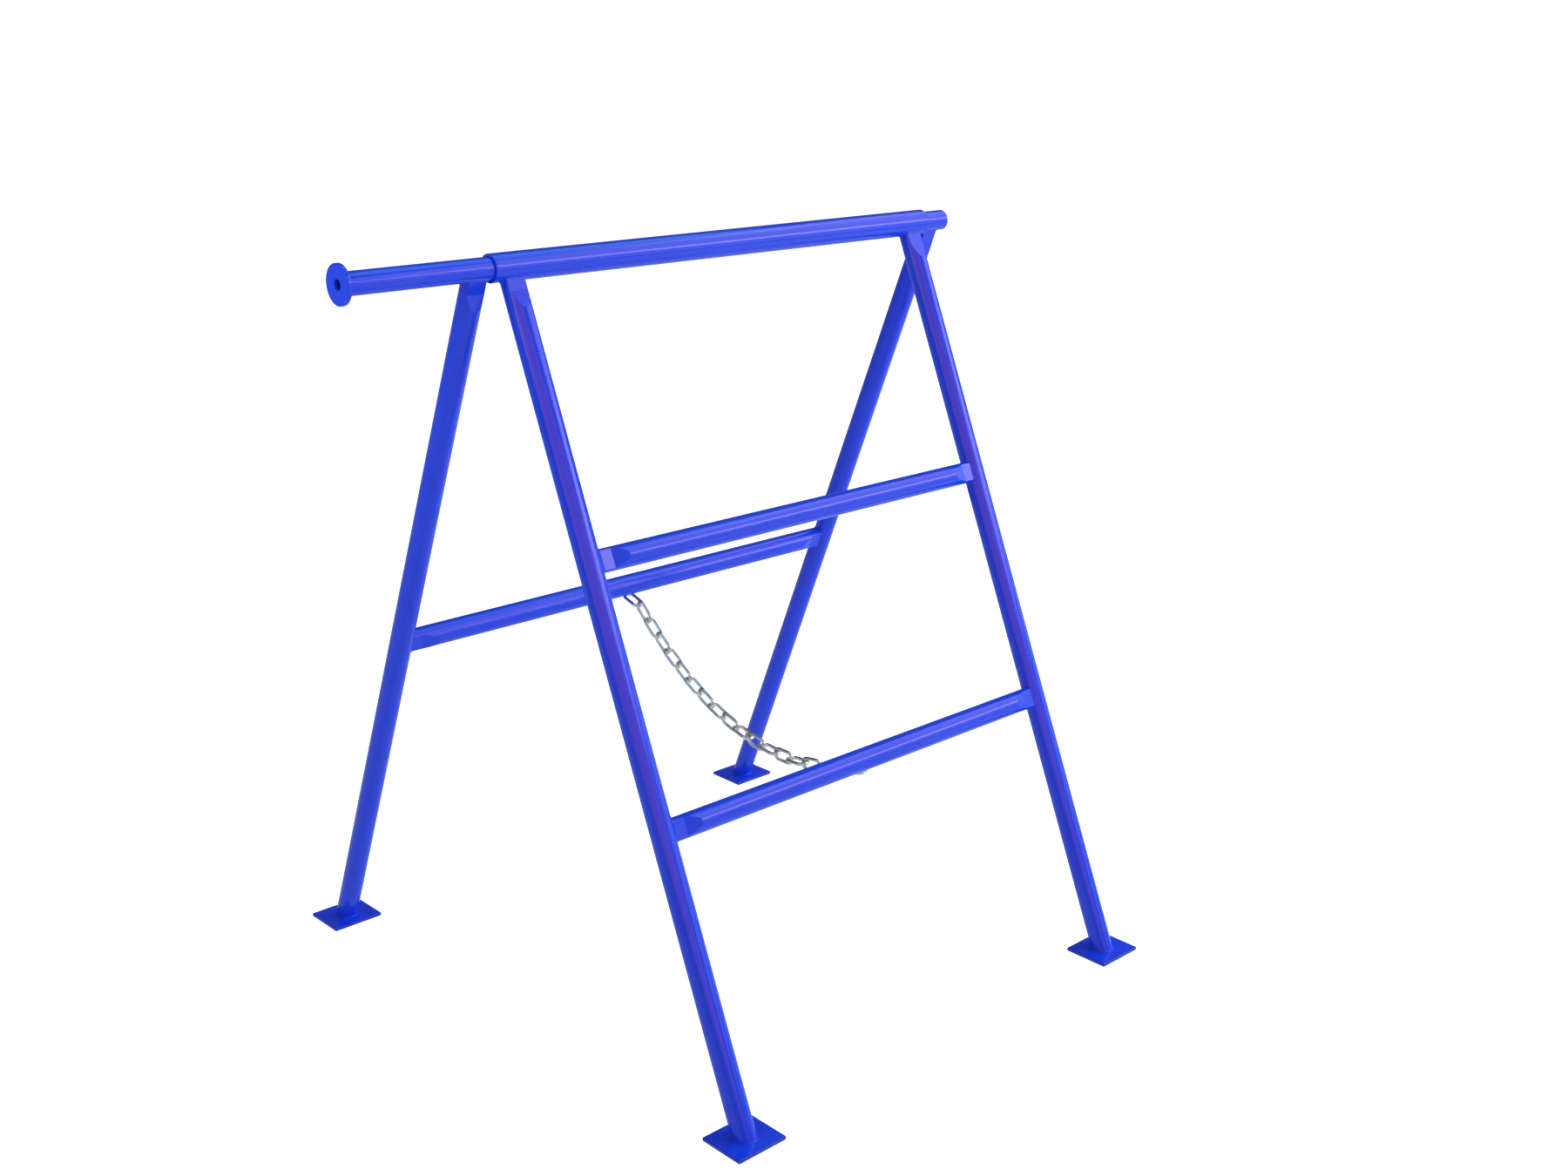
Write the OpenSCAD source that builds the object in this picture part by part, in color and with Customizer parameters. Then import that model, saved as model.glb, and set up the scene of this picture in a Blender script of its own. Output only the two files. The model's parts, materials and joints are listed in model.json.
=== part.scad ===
// Folding builders trestle: two welded tube frames that turn on one top tube,
// held from spreading by a chain between the rear rail and the front lower rail.
// Millimetres, +Z up, origin on the ground below the middle of the bounding box.
// The front frame leans to -Y and carries the sleeve, the rear frame to +Y.

/* [Stand] */
// Height of the pivot axis above the ground
axis_height = 982.5; // [800:0.5:1200]
// Distance between front and rear foot centres, at the top of the plates
foot_spread = 820; // [600:1:1000]

/* [Top tubes] */
// Outer diameter of the pivot tube
pivot_d = 28; // [24:0.5:34]
// Wall of the pivot tube
pivot_wall = 2.5; // [1.5:0.1:4]
// Radial running clearance between the pivot tube and the sleeve
turn_clearance = 0.5; // [0.2:0.05:0.9]
// Wall of the sleeve
sleeve_wall = 3; // [2:0.1:5]
// Length of the sleeve
sleeve_length = 730; // [500:1:900]
// End play between a sleeve end and the rear leg beside it
sleeve_end_gap = 3; // [1:0.5:8]
// Reach of the pivot tube past the rear left leg
arm_left = 175; // [80:1:260]
// Reach of the pivot tube past the rear right leg
stub_right = 25; // [18:0.5:60]

/* [End flange] */
// Diameter of the end flange
flange_d = 48; // [40:0.5:70]
// Thickness of the end flange
flange_t = 5; // [3:0.5:8]
// Hole in the end flange
flange_hole_d = 13; // [6:0.5:18]

/* [Legs] */
// Outer diameter of the legs
leg_d = 30; // [26:0.5:36]
// Wall of the legs
leg_wall = 2.5; // [1.5:0.1:4]
// Distance of the front legs in from the sleeve ends
front_leg_inset = 27.5; // [20:0.5:60]

/* [Rails] */
// Outer diameter of the rails
rail_d = 30; // [26:0.5:36]
// Wall of the rails
rail_wall = 2; // [1.5:0.1:4]
// Front upper rail, down the leg from the pivot axis
front_upper_drop = 362; // [200:1:440]
// Front lower rail, down the leg from the pivot axis
front_lower_drop = 691; // [620:1:780]
// Rear rail, down the leg from the pivot axis
rear_drop = 555; // [480:1:600]

/* [Pressed tube ends] */
// Thickness of a tube end pressed flat for welding
press_t = 18; // [12:0.5:24]
// Length of the flat, out from the tube that it is welded to
press_flat = 14; // [6:0.5:30]
// Length of the slope from the flat to the round tube
press_slope = 22; // [10:0.5:40]

/* [Feet] */
// Foot plate along the frame
foot_x = 74; // [50:1:100]
// Foot plate across the frame
foot_y = 66; // [50:1:90]
// Foot plate thickness
foot_t = 5; // [3:0.5:8]

/* [Chain] */
// Wire of the chain links
wire_d = 5; // [3:0.1:6]
// Inner width of a link
link_inner_w = 10.4; // [8:0.1:14]
// Gap between the wires of linked links
link_gap = 0.3; // [0.1:0.05:0.6]
// Hanging length of the chain as a share of its straight span
chain_slack_share = 1.057; // [1.02:0.001:1.12]
// Offset of the chain from the middle of the frames, towards the flange if below zero
chain_offset = -4.5; // [-60:0.5:60]

/* [Hidden] */
$fn = 96;
// Cuts run past the faces that they open
overrun = 2;
// Links are made to this step in length
size_step = 0.02;
// Depth to which the first link sinks into the rail at its weld
weld_sink = 0.3;
// Weld place of the first link round the rear rail, and of the last round the front lower rail
rear_weld_angle = -73;
front_weld_angle = -96;
// Links that hang free between the two at the rails
hanging_links = 17;
// Passes of each search below
search_count = 44;
paint = "royalblue";
zinc = "silver";

sleeve_bore_d = pivot_d + 2 * turn_clearance;
sleeve_d = sleeve_bore_d + 2 * sleeve_wall;
rear_gauge = sleeve_length + 2 * sleeve_end_gap + leg_d;
front_gauge = sleeve_length - 2 * front_leg_inset;
pivot_left = rear_gauge / 2 + arm_left;
pivot_right = rear_gauge / 2 + stub_right;
part_left = pivot_left + flange_t;
part_right = max(pivot_right, rear_gauge / 2 + foot_x / 2);
// The frames' middle lies here, so that the box is centred on the origin
middle_x = (part_left - part_right) / 2;
lean = atan2(foot_spread / 2, axis_height - foot_t);
leg_length = norm([foot_spread / 2, axis_height - foot_t]);

// A point in the middle plane, as [y, z], at a drop down a frame: side -1 front, +1 rear
function down_frame(side, drop) =
    [side * drop * sin(lean), axis_height - drop * cos(lean)];
function along(point, angle, length) =
    [point[0] + length * cos(angle), point[1] + length * sin(angle)];

rear_rail_at = down_frame(1, rear_drop);
lower_rail_at = down_frame(-1, front_lower_drop);

// Wire centres of the end links: each lies on its rail and runs off along the tangent
first_weld_at = along(rear_rail_at, rear_weld_angle, (rail_d + wire_d) / 2 - weld_sink);
last_weld_at = along(lower_rail_at, front_weld_angle, (rail_d + wire_d) / 2 + link_gap);
function first_free(inner) = along(first_weld_at, rear_weld_angle - 90, inner + wire_d);
function last_free(inner) = along(last_weld_at, front_weld_angle + 90, inner + wire_d);
flat_links = (hanging_links + 1) / 2;
cross_links = hanging_links - flat_links;
// Inner length of a link that gives the chain its slack over the span that is left
function inner_for(span) =
    (chain_slack_share * span + flat_links * (wire_d + 2 * link_gap) - cross_links * wire_d)
    / hanging_links;
function settle(inner, turns) = turns < 1 ? inner
    : settle(inner_for(norm(last_free(inner) - first_free(inner))), turns - 1);
link_inner_l = size_step * round(settle(0, search_count) / size_step);
hang_from = first_free(link_inner_l);
hang_to = last_free(link_inner_l);

// Between wire centres: flat links hold their neighbours' wires, cross links are those wires
steps = [for (i = [0 : hanging_links - 1])
    i % 2 == 0 ? link_inner_l - wire_d - 2 * link_gap : link_inner_l + wire_d];
function total(list, upto, i = 0) = i >= upto ? 0 : list[i] + total(list, upto, i + 1);
chain_length = total(steps, hanging_links);
mids = [for (i = [0 : hanging_links - 1]) total(steps, i) + steps[i] / 2];

// Hanging chain: each link slopes as its distance from the lowest point over the pull
function slopes(pull, lowest) = [for (m = mids) atan2(m - lowest, pull)];
function sum_cos(a, i = 0) = i >= len(a) ? 0 : steps[i] * cos(a[i]) + sum_cos(a, i + 1);
function sum_sin(a, i = 0) = i >= len(a) ? 0 : steps[i] * sin(a[i]) + sum_sin(a, i + 1);
span_y = hang_from[0] - hang_to[0];
rise_z = hang_to[1] - hang_from[1];
function find_lowest(pull, low, high, n) = n < 1 ? (low + high) / 2
    : let (m = (low + high) / 2) sum_sin(slopes(pull, m)) > rise_z
        ? find_lowest(pull, m, high, n - 1) : find_lowest(pull, low, m, n - 1);
function lowest_for(pull) =
    find_lowest(pull, -20 * chain_length, 20 * chain_length, search_count);
function find_pull(low, high, n) = n < 1 ? (low + high) / 2
    : let (m = (low + high) / 2) sum_cos(slopes(m, lowest_for(m))) < span_y
        ? find_pull(m, high, n - 1) : find_pull(low, m, n - 1);
pull = find_pull(0, 20 * chain_length, search_count);
link_slopes = slopes(pull, lowest_for(pull));
// Turn of each hanging link about X, and the wire centres from end to end, as [y, z]
link_turns = [for (s = link_slopes) 180 - s];
function walk(i) = i == 0 ? hang_from : along(walk(i - 1), link_turns[i - 1], steps[i - 1]);
joints_at = [for (i = [0 : hanging_links]) walk(i)];

module on_axis() { translate([middle_x, 0, axis_height]) children(); }

// Own frame of a leaning frame: X along the top tube, -Z down the legs
module leaning(side) { on_axis() rotate([side * lean, 0, 0]) children(); }

module x_rod(d, from, to) {
    translate([from, 0, 0]) rotate([0, 90, 0]) cylinder(d = d, h = to - from);
}

// Outline of a pressed tube end, half thickness against distance from the end
function pressed_half(t, d, flat_end) =
    [[t / 2, -overrun], [t / 2, flat_end],
     [d / 2 + overrun, flat_end + press_slope * ((d - t) / 2 + overrun) / ((d - press_t) / 2)]];

// Space that a leg keeps: pressed thin at the top, round below
module leg_space(t, d, flat_end) {
    half = pressed_half(t, d, flat_end);
    bottom = leg_length + d;
    outline = concat(
        [for (p = half) [p[0], -p[1]]], [[d / 2 + overrun, -bottom], [-d / 2 - overrun, -bottom]],
        [for (i = [len(half) - 1 : -1 : 0]) [-half[i][0], -half[i][1]]]);
    intersection() {
        translate([0, 0, -bottom]) cylinder(d = d, h = bottom + overrun);
        rotate([90, 0, 90])
            translate([0, 0, -d / 2 - overrun])
                linear_extrude(d + 2 * overrun) polygon(outline);
    }
}

// Leg welded under a top tube, cut level on its foot plate
module leg(side, x, top_d) {
    flat_end = top_d / 2 + press_flat;
    difference() {
        leaning(side) translate([x, 0, 0]) difference() {
            leg_space(press_t, leg_d, flat_end);
            leg_space(press_t - 2 * leg_wall, leg_d - 2 * leg_wall, flat_end);
        }
        on_axis() x_rod(top_d, x - leg_d, x + leg_d);
        translate([middle_x + x - foot_x, side * foot_spread / 2 - foot_y - leg_d, foot_t - 2 * leg_d])
            cube([2 * foot_x, 2 * (foot_y + leg_d), 2 * leg_d]);
    }
}

// Space that a rail keeps between two legs: pressed thin at both ends
module rail_space(t, d, gauge) {
    half = pressed_half(t, d, leg_d / 2 + press_flat);
    right = [for (p = half) [gauge / 2 - p[1], p[0]]];
    outline = concat(
        [for (p = right) [p[0], -p[1]]],
        [for (i = [len(right) - 1 : -1 : 0]) [-right[i][0], -right[i][1]]],
        [for (p = right) [-p[0], p[1]]],
        [for (i = [len(right) - 1 : -1 : 0]) right[i]]);
    intersection() {
        x_rod(d, -gauge / 2 - overrun, gauge / 2 + overrun);
        translate([0, 0, -d / 2 - overrun]) linear_extrude(d + 2 * overrun) polygon(outline);
    }
}

// Rail between the legs of a frame, its ends cut to the legs
module rail(side, drop, gauge) {
    leaning(side) difference() {
        translate([0, 0, -drop]) difference() {
            rail_space(press_t, rail_d, gauge);
            rail_space(press_t - 2 * rail_wall, rail_d - 2 * rail_wall, gauge);
        }
        for (end = [-1, 1])
            translate([end * gauge / 2, 0, -drop - rail_d]) cylinder(d = leg_d, h = 2 * rail_d);
    }
}

module foot(side, x) {
    translate([middle_x + x - foot_x / 2, side * foot_spread / 2 - foot_y / 2, 0])
        cube([foot_x, foot_y, foot_t]);
}

// Round end of a link, in the YZ plane, with its middle line on the far side of Y
module bow(bow_r, from_middle) {
    translate([0, from_middle, 0]) rotate([0, 90, 0])
        rotate_extrude(angle = 180) translate([bow_r, 0]) circle(d = wire_d);
}

module link_side(bow_r, side_l) {
    translate([0, -side_l / 2, bow_r]) rotate([-90, 0, 0]) cylinder(d = wire_d, h = side_l);
}

// One link, long along Y, in the YZ plane, or in the XY plane if across
module link(across) {
    bow_r = (link_inner_w + wire_d) / 2;
    side_l = link_inner_l - link_inner_w;
    rotate([0, across ? 90 : 0, 0]) {
        bow(bow_r, side_l / 2);
        mirror([0, 1, 0]) bow(bow_r, side_l / 2);
        link_side(bow_r, side_l);
        link_side(-bow_r, side_l);
    }
}

module in_plane(point, turn) {
    translate([middle_x + chain_offset, point[0], point[1]]) rotate([turn, 0, 0]) children();
}

// Hanging link i, counted from the rear
module hanging(i) {
    in_plane((joints_at[i] + joints_at[i + 1]) / 2, link_turns[i]) link(i % 2 == 1);
}

module sleeve_tube() {
    color(paint) on_axis() difference() {
        x_rod(sleeve_d, -sleeve_length / 2, sleeve_length / 2);
        x_rod(sleeve_bore_d, -sleeve_length / 2 - overrun, sleeve_length / 2 + overrun);
    }
}

module pivot_tube() {
    color(paint) on_axis() difference() {
        x_rod(pivot_d, -pivot_left, pivot_right);
        x_rod(pivot_d - 2 * pivot_wall, -pivot_left - overrun, pivot_right + overrun);
    }
}

module end_flange() {
    color(paint) on_axis() difference() {
        x_rod(flange_d, -pivot_left - flange_t, -pivot_left);
        x_rod(flange_hole_d, -pivot_left - flange_t - overrun, -pivot_left + overrun);
    }
}

module front_left_leg() { color(paint) leg(-1, -front_gauge / 2, sleeve_d); }
module front_right_leg() { color(paint) leg(-1, front_gauge / 2, sleeve_d); }
module rear_left_leg() { color(paint) leg(1, -rear_gauge / 2, pivot_d); }
module rear_right_leg() { color(paint) leg(1, rear_gauge / 2, pivot_d); }
module front_upper_rail() { color(paint) rail(-1, front_upper_drop, front_gauge); }
module front_lower_rail() { color(paint) rail(-1, front_lower_drop, front_gauge); }
module rear_rail() { color(paint) rail(1, rear_drop, rear_gauge); }
module front_left_foot() { color(paint) foot(-1, -front_gauge / 2); }
module front_right_foot() { color(paint) foot(-1, front_gauge / 2); }
module rear_left_foot() { color(paint) foot(1, -rear_gauge / 2); }
module rear_right_foot() { color(paint) foot(1, rear_gauge / 2); }

// First link, welded to the rear rail
module chain_link_01() {
    color(zinc) difference() {
        in_plane((first_weld_at + hang_from) / 2, rear_weld_angle - 90) link(true);
        leaning(1) translate([chain_offset, 0, -rear_drop]) x_rod(rail_d, -rail_d, rail_d);
    }
}

module chain_link_02() { color(zinc) hanging(0); }
module chain_link_03() { color(zinc) hanging(1); }
module chain_link_04() { color(zinc) hanging(2); }
module chain_link_05() { color(zinc) hanging(3); }
module chain_link_06() { color(zinc) hanging(4); }
module chain_link_07() { color(zinc) hanging(5); }
module chain_link_08() { color(zinc) hanging(6); }
module chain_link_09() { color(zinc) hanging(7); }
module chain_link_10() { color(zinc) hanging(8); }
module chain_link_11() { color(zinc) hanging(9); }
module chain_link_12() { color(zinc) hanging(10); }
module chain_link_13() { color(zinc) hanging(11); }
module chain_link_14() { color(zinc) hanging(12); }
module chain_link_15() { color(zinc) hanging(13); }
module chain_link_16() { color(zinc) hanging(14); }
module chain_link_17() { color(zinc) hanging(15); }
module chain_link_18() { color(zinc) hanging(16); }

// Last link, against the underside of the front lower rail
module chain_link_19() {
    color(zinc) in_plane((last_weld_at + hang_to) / 2, front_weld_angle + 90) link(true);
}

sleeve_tube();
pivot_tube();
end_flange();
front_left_leg();
front_right_leg();
rear_left_leg();
rear_right_leg();
front_upper_rail();
front_lower_rail();
rear_rail();
front_left_foot();
front_right_foot();
rear_left_foot();
rear_right_foot();
chain_link_01();
chain_link_02();
chain_link_03();
chain_link_04();
chain_link_05();
chain_link_06();
chain_link_07();
chain_link_08();
chain_link_09();
chain_link_10();
chain_link_11();
chain_link_12();
chain_link_13();
chain_link_14();
chain_link_15();
chain_link_16();
chain_link_17();
chain_link_18();
chain_link_19();
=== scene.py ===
"""Folding builders trestle: gloss blue tube frames with painted weld seams, held by a bright zinc chain."""
import json
import math

import bmesh
import bpy
from mathutils import Matrix, Vector

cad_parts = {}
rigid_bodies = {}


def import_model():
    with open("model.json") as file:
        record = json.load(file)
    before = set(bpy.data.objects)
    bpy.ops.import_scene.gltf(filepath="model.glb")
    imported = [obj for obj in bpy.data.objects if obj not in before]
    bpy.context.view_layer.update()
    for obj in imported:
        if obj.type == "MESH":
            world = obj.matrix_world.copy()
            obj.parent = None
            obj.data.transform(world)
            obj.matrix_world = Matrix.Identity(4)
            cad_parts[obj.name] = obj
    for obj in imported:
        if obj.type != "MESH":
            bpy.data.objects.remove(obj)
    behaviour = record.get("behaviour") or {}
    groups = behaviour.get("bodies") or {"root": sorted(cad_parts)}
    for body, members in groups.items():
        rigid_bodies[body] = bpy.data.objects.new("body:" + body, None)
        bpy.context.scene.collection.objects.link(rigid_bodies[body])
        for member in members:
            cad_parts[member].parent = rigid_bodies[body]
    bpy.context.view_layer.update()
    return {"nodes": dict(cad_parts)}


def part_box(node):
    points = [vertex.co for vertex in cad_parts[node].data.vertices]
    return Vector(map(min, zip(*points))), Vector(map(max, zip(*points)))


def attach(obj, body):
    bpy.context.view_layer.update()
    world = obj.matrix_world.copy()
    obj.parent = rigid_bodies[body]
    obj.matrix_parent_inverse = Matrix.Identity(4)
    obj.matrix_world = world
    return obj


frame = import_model()
nodes = frame["nodes"]
scene = bpy.context.scene

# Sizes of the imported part, in metres
MM = 0.001
LEG_R = 15 * MM
RAIL_R = 15 * MM
PRESS_HALF = 9 * MM
SLEEVE_R = 17.5 * MM
PIVOT_R = 14 * MM
FOOT_T = 5 * MM
FOOT_SPREAD = 820 * MM
FRONT_DROPS = {"upper": 362 * MM, "lower": 691 * MM}
REAR_DROP = 555 * MM
FRONT = -1
REAR = 1
sleeve_low, sleeve_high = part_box("sleeve_tube")
pivot_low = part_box("pivot_tube")[0]
AXIS_Z = (sleeve_low.z + sleeve_high.z) / 2
MIDDLE_X = (sleeve_low.x + sleeve_high.x) / 2
LEAN = math.atan2(FOOT_SPREAD / 2, AXIS_Z - FOOT_T)


def middle_x(node):
    low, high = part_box(node)
    return (low.x + high.x) / 2


FRONT_X = {"left": middle_x("front_left_leg"), "right": middle_x("front_right_leg")}
REAR_X = {"left": middle_x("rear_left_leg"), "right": middle_x("rear_right_leg")}


# Materials

# Enamel where it lies thin, thick and flecked; worn in patches and darkened by painted shade on a plate's
# rim; and a dark line of painted shade along a plate's top edge
ENAMEL_THIN = (0.009, 0.059, 0.87)
ENAMEL_THICK = (0.013, 0.071, 0.92)
ENAMEL_FLECK = (0.022, 0.09, 0.95)
ENAMEL_SCUFF_AND_SHADE = (0.007, 0.050, 0.62)
ENAMEL_EDGE_SHADE = (0.005, 0.026, 0.34)
ENAMEL_GLOSS_TINT = (1.0, 0.70, 0.95, 1.0)
ENAMEL_IOR = 1.5
PEEL_STRENGTH = 0.08
PEEL_HEIGHT = 0.2 * MM
# The plates' rims reach up to RIM_TOP, with a painted dark edge line, painted shade, just below it
RIM_TOP = 4.9 * MM
RIM_FADE = 0.5 * MM
EDGE_MIDDLE = 4.5 * MM
EDGE_HALF = 0.46 * MM
ZINC_DARK = (0.68, 0.63, 0.59)
ZINC_LIGHT = (0.89, 0.83, 0.78)
GRAIN_STRENGTH = 0.15
GRAIN_HEIGHT = 0.1 * MM


class Paper:
    """Short way to write a node tree."""

    def __init__(self, tree):
        self.tree = tree

    def add(self, kind, **values):
        node = self.tree.nodes.new(kind)
        for key, value in values.items():
            if hasattr(node, key):
                setattr(node, key, value)
            else:
                node.inputs[key.replace("_", " ")].default_value = value
        return node

    def join(self, out_socket, in_socket):
        self.tree.links.new(out_socket, in_socket)

    def noise(self, where, scale, detail, rough):
        node = self.add("ShaderNodeTexNoise", Scale=scale, Detail=detail, Roughness=rough)
        self.join(where, node.inputs["Vector"])
        return node.outputs["Fac"]

    def ramp(self, value, low, high, first, last):
        node = self.add("ShaderNodeMapRange")
        for key, number in (("From Min", low), ("From Max", high), ("To Min", first), ("To Max", last)):
            node.inputs[key].default_value = number
        self.join(value, node.inputs["Value"])
        return node.outputs["Result"]

    def blend(self, share, first, last):
        node = self.add("ShaderNodeMix", data_type="RGBA")
        self.join(share, node.inputs[0])
        for socket, colour in ((node.inputs[6], first), (node.inputs[7], last)):
            if isinstance(colour, tuple):
                socket.default_value = (*colour, 1.0)
            else:
                self.join(colour, socket)
        return node.outputs[2]

    def bump(self, height, strength, distance, shader):
        node = self.add("ShaderNodeBump", Strength=strength, Distance=distance)
        self.join(height, node.inputs["Height"])
        self.join(node.outputs["Normal"], shader.inputs["Normal"])


def new_material(name):
    material = bpy.data.materials.new(name)
    material.use_nodes = True
    tree = material.node_tree
    tree.nodes.clear()
    paper = Paper(tree)
    paper.out = paper.add("ShaderNodeOutputMaterial")
    shader = paper.add("ShaderNodeBsdfPrincipled")
    paper.join(shader.outputs["BSDF"], paper.out.inputs["Surface"])
    where = paper.add("ShaderNodeTexCoord").outputs["Object"]
    return material, paper, shader, where


def paint_material():
    """Gloss enamel: even deep blue in thin and thick patches, finely uneven; the plates' rims worn in
    patches and darkened by painted shade, with a painted shade line along their top edge.
    """
    material, paper, shader, where = new_material("blue_enamel")
    cloud = paper.noise(where, scale=9.0, detail=4.0, rough=0.55)
    fleck = paper.noise(where, scale=420.0, detail=2.0, rough=0.6)
    thick = paper.ramp(cloud, low=0.3, high=0.7, first=0.0, last=1.0)
    deep = paper.blend(thick, ENAMEL_THIN, ENAMEL_THICK)
    grain = paper.ramp(fleck, low=0.35, high=0.65, first=0.0, last=0.10)
    whole = paper.blend(grain, deep, ENAMEL_FLECK)
    height = paper.add("ShaderNodeSeparateXYZ")
    paper.join(where, height.inputs["Vector"])
    # Up to RIM_TOP, which is the plates' rims, the enamel is darker: worn paint in patches, and painted
    # shade that darkens the whole rim a little
    chips = paper.noise(where, scale=240.0, detail=3.0, rough=0.6)
    low_down = paper.ramp(height.outputs["Z"], low=RIM_TOP - RIM_FADE, high=RIM_TOP, first=1.0, last=0.0)
    patchy = paper.ramp(chips, low=0.40, high=0.62, first=0.25, last=1.0)
    scuff_and_shade = paper.add("ShaderNodeMath", operation="MULTIPLY")
    paper.join(low_down, scuff_and_shade.inputs[0])
    paper.join(patchy, scuff_and_shade.inputs[1])
    scuffed_and_shaded = paper.blend(scuff_and_shade.outputs["Value"], whole, ENAMEL_SCUFF_AND_SHADE)
    # An even dark band all round just under the plates' top edge: painted shade along the edge
    edge = paper.add("ShaderNodeMath", operation="COMPARE")
    paper.join(height.outputs["Z"], edge.inputs[0])
    edge.inputs[1].default_value = EDGE_MIDDLE
    edge.inputs[2].default_value = EDGE_HALF
    colour = paper.blend(edge.outputs["Value"], scuffed_and_shaded, ENAMEL_EDGE_SHADE)
    paper.join(colour, shader.inputs["Base Color"])
    dull = paper.noise(where, scale=60.0, detail=5.0, rough=0.65)
    rough = paper.ramp(dull, low=0.3, high=0.75, first=0.12, last=0.18)
    paper.join(rough, shader.inputs["Roughness"])
    peel = paper.noise(where, scale=320.0, detail=1.0, rough=0.4)
    paper.bump(peel, PEEL_STRENGTH, PEEL_HEIGHT, shader)
    shader.inputs["IOR"].default_value = ENAMEL_IOR
    shader.inputs["Specular Tint"].default_value = ENAMEL_GLOSS_TINT
    return material


def zinc_material():
    """Bright zinc plate: clear metal with soft mottling, dull spots and a fine grain."""
    material, paper, shader, where = new_material("bright_zinc")
    mottle = paper.noise(where, scale=130.0, detail=3.0, rough=0.6)
    share = paper.ramp(mottle, low=0.3, high=0.7, first=0.0, last=1.0)
    paper.join(paper.blend(share, ZINC_DARK, ZINC_LIGHT), shader.inputs["Base Color"])
    spots = paper.noise(where, scale=500.0, detail=3.0, rough=0.6)
    rough = paper.ramp(spots, low=0.3, high=0.75, first=0.14, last=0.30)
    paper.join(rough, shader.inputs["Roughness"])
    grain = paper.noise(where, scale=900.0, detail=2.0, rough=0.5)
    paper.bump(grain, GRAIN_STRENGTH, GRAIN_HEIGHT, shader)
    shader.inputs["Metallic"].default_value = 1.0
    return material


paint = paint_material()
zinc = zinc_material()
for node_name, node_object in nodes.items():
    node_object.data.materials.clear()
    node_object.data.materials.append(zinc if node_name.startswith("chain") else paint)


# Plates and disc: broken edges, as sheared and painted steel has

FOOT_EDGE = 0.8 * MM
FLANGE_EDGE = 0.6 * MM
EDGE_SEGMENTS = 2
EDGE_ANGLE = math.radians(40)
MERGE_DISTANCE = 0.01 * MM


def soften_edges(node_name, width):
    node_object = nodes[node_name]
    weld = node_object.modifiers.new("join", "WELD")
    weld.merge_threshold = MERGE_DISTANCE
    bevel = node_object.modifiers.new("edge", "BEVEL")
    bevel.width = width
    bevel.segments = EDGE_SEGMENTS
    bevel.limit_method = "ANGLE"
    bevel.angle_limit = EDGE_ANGLE
    even = node_object.modifiers.new("even", "WEIGHTED_NORMAL")
    even.keep_sharp = False


for side_name in ("front_left", "front_right", "rear_left", "rear_right"):
    soften_edges(side_name + "_foot", FOOT_EDGE)
soften_edges("end_flange", FLANGE_EDGE)


# Weld seams

SEAM_R = 1.1 * MM
RIPPLE_PITCH = 2.2 * MM
RIPPLE_SHARE = 0.10
STEPS_PER_RIPPLE = 5
SLOW_WAVES = 3
SLOW_SHARE = 0.06
LEAST_STEPS = 24
RING_POINTS = 10
LOOP_POINTS = 72
# The first chain link's weld: beside the middle of the rear rail, on its underside
CHAIN_SHIFT = -4.5 * MM
CHAIN_WELD = math.radians(-73)
CHAIN_LOOP_POINTS = 48
WELD_HALF_LENGTH = 6 * MM
WELD_HALF_WIDTH = 2.4 * MM


def lean_point(side, x, y, z):
    """From a leaning frame's own axes to the part's."""
    cosine = math.cos(side * LEAN)
    sine = math.sin(side * LEAN)
    return Vector((x, y * cosine - z * sine, AXIS_Z + y * sine + z * cosine))


def round_turns(count):
    """Even angles all round a circle."""
    return [2 * math.pi * i / count for i in range(count)]


def pressed_outline():
    """Round a pressed tube end: a circle with two flats, as (along the flat, across)."""
    points = []
    for turn in round_turns(LOOP_POINTS):
        along = LEG_R * math.cos(turn)
        across = LEG_R * math.sin(turn)
        points.append((along, max(-PRESS_HALF, min(PRESS_HALF, across))))
    return points


def even_loop(points, step):
    """The same closed line with points at an even step."""
    line = [*points, points[0]]
    lengths = [(line[i + 1] - line[i]).length for i in range(len(points))]
    whole = sum(lengths)
    count = max(LEAST_STEPS, round(whole / step))
    made = []
    i = 0
    passed = 0.0
    for k in range(count):
        goal = whole * k / count
        while passed + lengths[i] < goal:
            passed += lengths[i]
            i += 1
        made.append(line[i].lerp(line[i + 1], (goal - passed) / lengths[i]))
    return made


def bead_rings(mesh, line):
    """Rings of points round a closed line, each begun in line with the ring before it."""
    count = len(line)
    ripples = max(1, round(count / STEPS_PER_RIPPLE))
    side_way = None
    rings = []
    for i in range(count):
        before = line[i - 1]
        after = line[(i + 1) % count]
        ahead = (after - before).normalized()
        if side_way is None:
            side_way = ahead.orthogonal().normalized()
        else:
            side_way = (side_way - ahead * side_way.dot(ahead)).normalized()
        up_way = ahead.cross(side_way)
        ripple = math.sin(2 * math.pi * ripples * i / count)
        slow = math.sin(2 * math.pi * SLOW_WAVES * i / count)
        radius = SEAM_R * (1 + RIPPLE_SHARE * ripple + SLOW_SHARE * slow)
        centre = sum((before, line[i], after), Vector()) / 3
        ring = []
        for turn in round_turns(RING_POINTS):
            spoke = math.cos(turn) * side_way + math.sin(turn) * up_way
            ring.append(mesh.verts.new(centre + radius * spoke))
        rings.append(ring)
    return rings


def closing_shift(rings):
    """How many points the last ring is turned against the first one, where the line closes."""
    start = rings[-1][0].co
    distances = [(start - point.co).length for point in rings[0]]
    return distances.index(min(distances))


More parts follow.
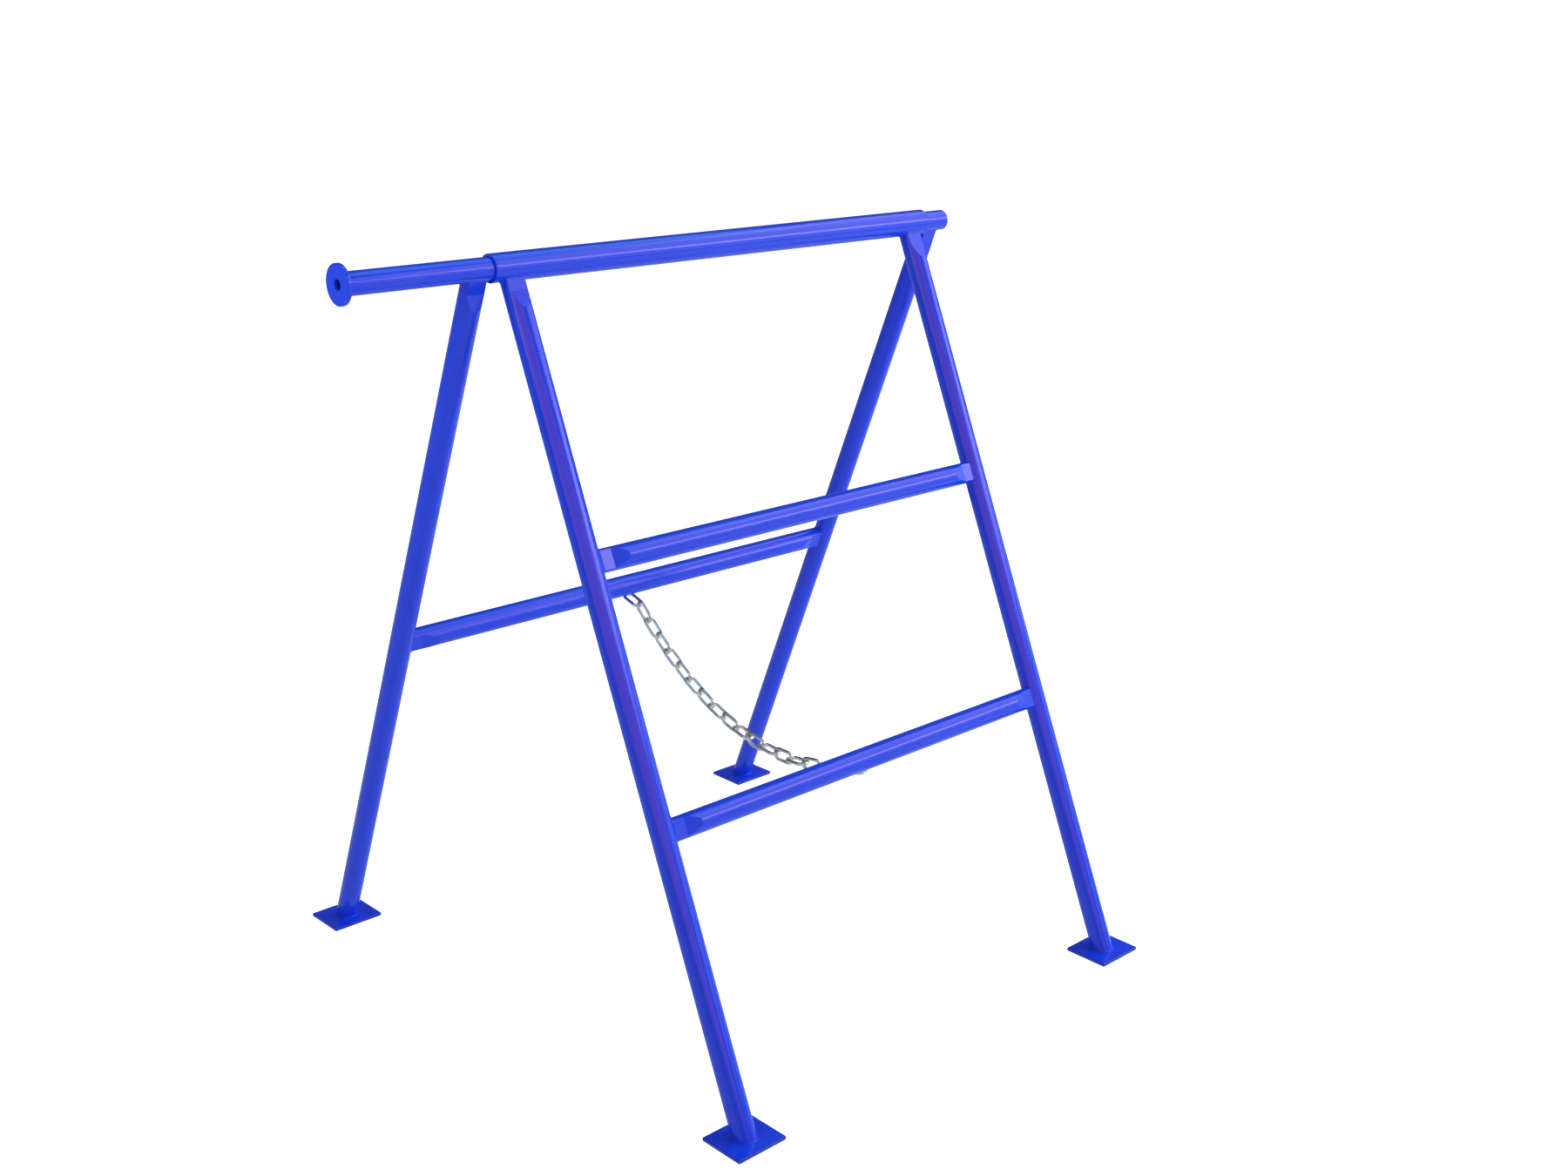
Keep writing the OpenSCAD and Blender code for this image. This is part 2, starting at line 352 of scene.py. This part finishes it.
def seam_piece(name, points, body):
    """A bead of weld along a closed line, rippled as it was laid, painted over."""
    mesh = bmesh.new()
    rings = bead_rings(mesh, even_loop(points, RIPPLE_PITCH / STEPS_PER_RIPPLE))
    shift = closing_shift(rings)
    for i, here in enumerate(rings):
        there = rings[(i + 1) % len(rings)]
        turn = shift if here is rings[-1] else 0
        for k in range(RING_POINTS):
            corners = (here[k], here[(k + 1) % RING_POINTS],
                       there[(k + 1 + turn) % RING_POINTS], there[(k + turn) % RING_POINTS])
            mesh.faces.new(corners).smooth = True
    bmesh.ops.recalc_face_normals(mesh, faces=mesh.faces)
    data = bpy.data.meshes.new(name)
    mesh.to_mesh(data)
    mesh.free()
    piece = bpy.data.objects.new(name, data)
    scene.collection.objects.link(piece)
    data.materials.append(paint)
    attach(piece, body)


def foot_loop(side, x):
    """Where a leaning leg stands on its plate."""
    points = []
    for turn in round_turns(LOOP_POINTS):
        y = side * FOOT_SPREAD / 2 + LEG_R / math.cos(LEAN) * math.sin(turn)
        points.append(Vector((x + LEG_R * math.cos(turn), y, FOOT_T)))
    return points


def top_loop(side, x, tube_r):
    """Where a leg's pressed end meets the tube above it."""
    return [lean_point(side, x + along, across, -math.sqrt(tube_r ** 2 - across ** 2))
            for along, across in pressed_outline()]


def rail_loop(side, drop, leg_x):
    """Where a rail's pressed end meets a leg."""
    inward = 1 if leg_x < MIDDLE_X else -1
    return [lean_point(side, leg_x + inward * math.sqrt(LEG_R ** 2 - across ** 2), across, -drop + along)
            for along, across in pressed_outline()]


def flange_loop():
    """Where the pivot tube meets its end flange."""
    points = []
    for turn in round_turns(LOOP_POINTS):
        points.append(Vector((pivot_low.x, PIVOT_R * math.cos(turn), AXIS_Z + PIVOT_R * math.sin(turn))))
    return points


def chain_loop():
    """Round the bow of the first link, on the underside of the rear rail."""
    rail = lean_point(REAR, MIDDLE_X + CHAIN_SHIFT, 0.0, -REAR_DROP)
    points = []
    for turn in round_turns(CHAIN_LOOP_POINTS):
        along = WELD_HALF_LENGTH * math.cos(turn)
        bend = CHAIN_WELD + WELD_HALF_WIDTH / RAIL_R * math.sin(turn)
        points.append(rail + Vector((along, RAIL_R * math.cos(bend), RAIL_R * math.sin(bend))))
    return points


for end, x in FRONT_X.items():
    seam_piece("seam_front_%s_foot" % end, foot_loop(FRONT, x), "front_frame")
    seam_piece("seam_front_%s_top" % end, top_loop(FRONT, x, SLEEVE_R), "front_frame")
    for level, drop in FRONT_DROPS.items():
        seam_piece("seam_front_%s_%s_rail" % (end, level), rail_loop(FRONT, drop, x), "front_frame")
for end, x in REAR_X.items():
    seam_piece("seam_rear_%s_foot" % end, foot_loop(REAR, x), "rear_frame")
    seam_piece("seam_rear_%s_top" % end, top_loop(REAR, x, PIVOT_R), "rear_frame")
    seam_piece("seam_rear_%s_rail" % end, rail_loop(REAR, REAR_DROP, x), "rear_frame")
seam_piece("seam_flange", flange_loop(), "rear_frame")
seam_piece("seam_chain", chain_loop(), "rear_frame")


# Floor, light and camera

WHITE = (1.0, 1.0, 1.0, 1.0)
CENTRE = Vector((MIDDLE_X, 0.0, 0.5))
# The floor lies clear of the rear feet, which swing below the front feet's level as the frames fold
FOOT_SWEEP = 100 * MM
FLOOR_HALF = 60.0
FLOOR_DARK = (0.91, 0.95, 0.95)
FLOOR_LIGHT = (0.93, 0.97, 0.97)
FLOOR_ROUGHNESS = 0.9
FLOOR_GLOW = (0.92, 0.98, 1.0, 1.0)
FLOOR_GLOW_STRENGTH = 0.14
WALL_STRENGTH = 0.11
BACKDROP_STRENGTH = 1.0
CAMERA_PLACE = (-1.551016, -1.870126, 1.297590)
CAMERA_AHEAD = (0.67079998, 0.68182511, -0.29179084)
CAMERA_RIGHT = (0.71502237, -0.69902473, 0.0103649)
CAMERA_SENSOR = 36.0
CAMERA_LENS = 43.592
CAMERA_SHIFT_X = -0.03713
CAMERA_SHIFT_Y = -0.01231
CAMERA_REACH = 200.0


def make_floor():
    mesh = bmesh.new()
    bmesh.ops.create_grid(mesh, x_segments=2, y_segments=2, size=FLOOR_HALF)
    data = bpy.data.meshes.new("floor")
    mesh.to_mesh(data)
    mesh.free()
    floor = bpy.data.objects.new("floor", data)
    scene.collection.objects.link(floor)
    floor.location.z = -FOOT_SWEEP
    material, paper, shader, where = new_material("pale_floor")
    cloud = paper.noise(where, scale=0.6, detail=2.0, rough=0.5)
    paper.join(paper.blend(cloud, FLOOR_DARK, FLOOR_LIGHT), shader.inputs["Base Color"])
    shader.inputs["Roughness"].default_value = FLOOR_ROUGHNESS
    shader.inputs["Specular IOR Level"].default_value = 0.0
    shader.inputs["Emission Color"].default_value = FLOOR_GLOW
    shader.inputs["Emission Strength"].default_value = FLOOR_GLOW_STRENGTH
    # Seen directly it is as white as the backdrop, and in reflections a plain pale floor
    glow = paper.add("ShaderNodeEmission", Strength=BACKDROP_STRENGTH)
    path = paper.add("ShaderNodeLightPath")
    seen = paper.add("ShaderNodeMixShader")
    both = paper.add("ShaderNodeAddShader")
    paper.join(shader.outputs["BSDF"], both.inputs[0])
    paper.join(glow.outputs["Emission"], both.inputs[1])
    paper.join(path.outputs["Is Camera Ray"], seen.inputs["Fac"])
    paper.join(shader.outputs["BSDF"], seen.inputs[1])
    paper.join(both.outputs["Shader"], seen.inputs[2])
    paper.join(seen.outputs["Shader"], paper.out.inputs["Surface"])
    data.materials.append(material)


def soft_box(name, azimuth, elevation, distance, width, height, radiance, colour):
    """A panel of even light that faces the part."""
    light = bpy.data.lights.new(name, "AREA")
    light.shape = "RECTANGLE"
    light.size = width
    light.size_y = height
    light.energy = radiance * math.pi * width * height
    light.color = colour
    panel = bpy.data.objects.new(name, light)
    scene.collection.objects.link(panel)
    turn = math.radians(azimuth)
    rise = math.radians(elevation)
    way = Vector((math.cos(turn) * math.cos(rise), math.sin(turn) * math.cos(rise), math.sin(rise)))
    panel.location = CENTRE + distance * way
    panel.rotation_euler = way.to_track_quat("Z", "Y").to_euler()
    panel.visible_camera = False
    return panel


def light_only(panel, pieces):
    """Let a panel light these pieces and no others."""
    group = bpy.data.collections.new(panel.name + "_pieces")
    for piece in pieces:
        group.objects.link(piece)
    panel.light_linking.receiver_collection = group


def make_lights():
    soft_box("right_main", azimuth=-25, elevation=36, distance=4.0, width=5.2, height=2.9,
             radiance=1.88, colour=(0.85, 0.90, 1.0))
    soft_box("right_strip", azimuth=-55, elevation=22, distance=3.9, width=3.5, height=0.80,
             radiance=3.3, colour=(0.94, 0.96, 1.0))
    soft_box("right_low", azimuth=-40, elevation=5, distance=4.0, width=4.8, height=1.0,
             radiance=1.6, colour=(0.65, 0.85, 1.0))
    soft_box("right_top", azimuth=5, elevation=62, distance=4.0, width=2.6, height=1.6,
             radiance=1.5, colour=(0.45, 1.0, 1.0))
    soft_box("left", azimuth=168, elevation=32, distance=2.6, width=3.4, height=2.2,
             radiance=0.30, colour=(0.85, 0.97, 1.0))
    soft_box("left_near", azimuth=176, elevation=34, distance=1.4, width=0.6, height=0.6,
             radiance=1.8, colour=(0.40, 0.85, 1.0))
    # Seen in the legs alone, a warm front gives them their violet middle
    legs = [node_object for node_name, node_object in nodes.items() if node_name.endswith("_leg")]
    links = [node_object for node_name, node_object in nodes.items() if node_name.startswith("chain")]
    others = [piece for piece in scene.objects if paint.name in piece.material_slots and piece not in legs]
    front_warm = soft_box("front_warm", azimuth=-130, elevation=21, distance=4.0, width=8.0, height=2.9,
                          radiance=1.28, colour=(1.0, 0.30, 0.30))
    light_only(front_warm, legs)
    front_cool = soft_box("front_cool", azimuth=-130, elevation=21, distance=4.0, width=8.0, height=2.9,
                          radiance=0.40, colour=(0.90, 0.97, 1.0))
    light_only(front_cool, others)
    front_plain = soft_box("front_plain", azimuth=-122, elevation=28, distance=4.0, width=8.0, height=2.8,
                           radiance=0.85, colour=(1.0, 0.95, 0.90))
    light_only(front_plain, links)


def make_world():
    """Dim grey walls for the part to reflect, and a white backdrop behind it."""
    world = bpy.data.worlds.new("studio")
    scene.world = world
    world.use_nodes = True
    tree = world.node_tree
    tree.nodes.clear()
    paper = Paper(tree)
    out = paper.add("ShaderNodeOutputWorld")
    wall = paper.add("ShaderNodeBackground", Strength=WALL_STRENGTH)
    wall.inputs["Color"].default_value = WHITE
    backdrop = paper.add("ShaderNodeBackground", Strength=BACKDROP_STRENGTH)
    backdrop.inputs["Color"].default_value = WHITE
    path = paper.add("ShaderNodeLightPath")
    mix = paper.add("ShaderNodeMixShader")
    paper.join(path.outputs["Is Camera Ray"], mix.inputs["Fac"])
    paper.join(wall.outputs["Background"], mix.inputs[1])
    paper.join(backdrop.outputs["Background"], mix.inputs[2])
    paper.join(mix.outputs["Shader"], out.inputs["Surface"])


def make_camera():
    data = bpy.data.cameras.new("camera")
    camera = bpy.data.objects.new("camera", data)
    scene.collection.objects.link(camera)
    ahead = Vector(CAMERA_AHEAD)
    right = Vector(CAMERA_RIGHT)
    up = right.cross(ahead)
    turn = Matrix((right, up, -ahead)).transposed().to_4x4()
    camera.matrix_world = Matrix.Translation(CAMERA_PLACE) @ turn
    data.sensor_width = CAMERA_SENSOR
    data.lens = CAMERA_LENS
    data.shift_x = CAMERA_SHIFT_X
    data.shift_y = CAMERA_SHIFT_Y
    data.clip_end = CAMERA_REACH
    scene.camera = camera


make_floor()
make_world()
make_lights()
make_camera()
scene.view_settings.view_transform = "Standard"
scene.view_settings.look = "None"
